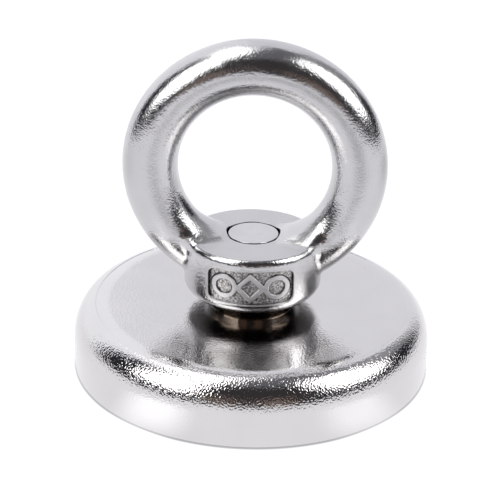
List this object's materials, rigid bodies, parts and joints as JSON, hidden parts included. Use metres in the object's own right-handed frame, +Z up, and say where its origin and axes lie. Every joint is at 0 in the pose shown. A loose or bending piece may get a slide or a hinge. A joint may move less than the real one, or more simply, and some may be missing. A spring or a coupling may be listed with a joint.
{
  "type": "magnet fishing magnet",
  "caption": "Round pot magnet with a countersunk ring magnet inside, and a cast lifting eye screwed onto its centre screw, for pulling iron out of water on a rope.",
  "frame": {"origin": "centre of the magnetic face, at the level of the steel rim that the magnet stands on", "axes": "+Z up through the screw and the eye, -Y towards the side with the recessed panel; the eye's ring lies in the XZ plane"},
  "size_m": [0.06, 0.06, 0.0577],
  "materials": {
    "nickel_plated_steel": "satin nickel plate, fine orange-peel grain on the rounded edge",
    "magnet_nickel": "nickel plate",
    "epoxy": "cast resin",
    "screw_steel": "turned stainless",
    "cast_stainless": "polished casting with faint pebbling"
  },
  "bodies": {
    "magnet_body": {"pot_cup": "nickel_plated_steel", "ring_magnet": "magnet_nickel", "epoxy_ring": "epoxy"},
    "screw": {"centre_screw": "screw_steel"},
    "eye": {"eye_nut": "cast_stainless"}
  },
  "joints": [
    {"name": "screw_turn", "type": "hinge", "parent": "magnet_body", "child": "screw", "pos_m": [0, 0, 0.006], "axis": [0, 0, -1], "range_deg": [0, 3060]},
    {"name": "eye_lift", "type": "slide", "parent": "magnet_body", "child": "eye", "axis": [0, 0, 1], "range_m": [0, 0.01275]}
  ],
  "couplings": [
    {"joint": "screw_turn", "follows": "eye_lift", "rad_per_m": 4188.8}
  ]
}
